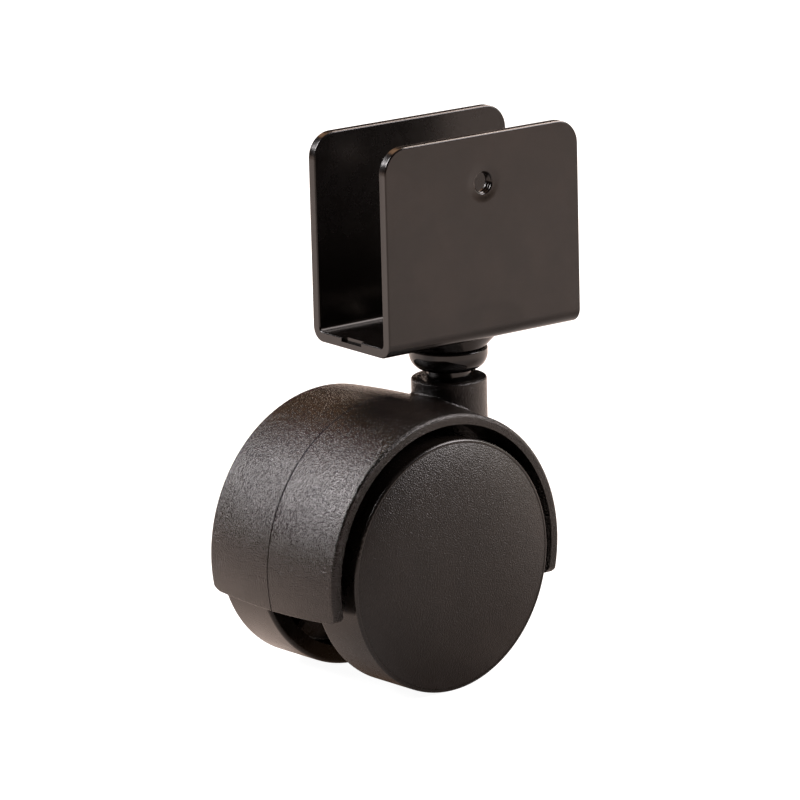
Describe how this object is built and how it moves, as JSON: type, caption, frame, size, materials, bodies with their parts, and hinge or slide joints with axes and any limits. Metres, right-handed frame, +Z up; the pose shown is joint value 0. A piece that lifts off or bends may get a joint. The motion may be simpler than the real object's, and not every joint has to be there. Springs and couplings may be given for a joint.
{
  "type": "u-bracket castor",
  "caption": "Swivelling twin-wheel castor with a crowned hood, on a folded channel bracket that straddles the edge of a board.",
  "frame": {"origin": "on the swivel axis, in the plane of the channel floor that the board's edge sits on", "axes": "+Z up along the swivel axis; the flanges face along Y and the channel runs along X; the castor trails towards -X, turned 4.2 degrees about Z as in the picture"},
  "size_m": [0.0722, 0.0443, 0.1065],
  "materials": {
    "bracket_paint": "gloss black stove enamel on pressed steel",
    "pin_paint": "gloss black on turned steel",
    "spring_steel": "oiled spring steel",
    "axle_steel": "bright drawn steel",
    "hood_plastic": "fine spark-eroded grain, satin black nylon",
    "wheel_plastic": "smooth satin black nylon",
    "cover_plastic": "fine spark-eroded grain, satin black nylon"
  },
  "bodies": {
    "bracket": {"u_bracket": "bracket_paint", "king_pin": "pin_paint", "snap_ring": "spring_steel"},
    "castor": {"hood": "hood_plastic", "axle": "axle_steel", "near_axle_clip": "spring_steel", "far_axle_clip": "spring_steel"},
    "near_wheel": {"near_wheel": "wheel_plastic", "near_wheel_cover": "cover_plastic"},
    "far_wheel": {"far_wheel": "wheel_plastic", "far_wheel_cover": "cover_plastic"}
  },
  "joints": [
    {"name": "swivel", "type": "hinge", "parent": "bracket", "child": "castor", "pos_m": [0, 0, 0], "axis": [0, 0, 1], "continuous": true},
    {"name": "near_wheel_spin", "type": "hinge", "parent": "castor", "child": "near_wheel", "pos_m": [-0.01825, -0.00134, -0.04245], "axis": [-0.0732, 0.9973, 0], "continuous": true},
    {"name": "far_wheel_spin", "type": "hinge", "parent": "castor", "child": "far_wheel", "pos_m": [-0.01825, -0.00134, -0.04245], "axis": [-0.0732, 0.9973, 0], "continuous": true}
  ]
}
